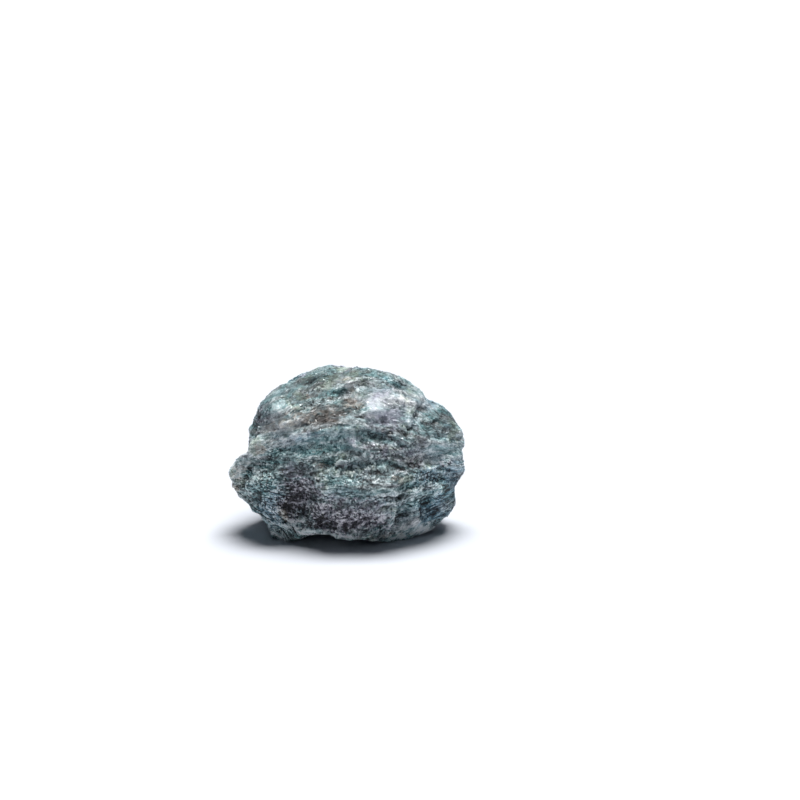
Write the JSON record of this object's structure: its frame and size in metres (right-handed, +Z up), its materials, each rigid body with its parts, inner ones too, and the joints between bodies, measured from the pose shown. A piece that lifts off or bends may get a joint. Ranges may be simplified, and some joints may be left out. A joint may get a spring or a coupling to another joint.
{
  "type": "ruby in kyanite rough stone",
  "caption": "Rough, unpolished lump of ruby in kyanite: thin broken layers, worn ledges, a notched shoulder and a foot that rests flat.",
  "frame": {"origin": "on the floor, under the middle of the stone's box", "axes": "+Z up as the stone rests, +X along its longest side, -Y towards its best side"},
  "size_m": [0.0484, 0.0396, 0.0326],
  "materials": {
    "ruby_kyanite": "rough broken rock, blue-green kyanite blades with grey-purple ruby-bearing zones, small glints"
  },
  "bodies": {
    "root": {"ruby_kyanite_stone": "ruby_kyanite"}
  },
  "joints": []
}
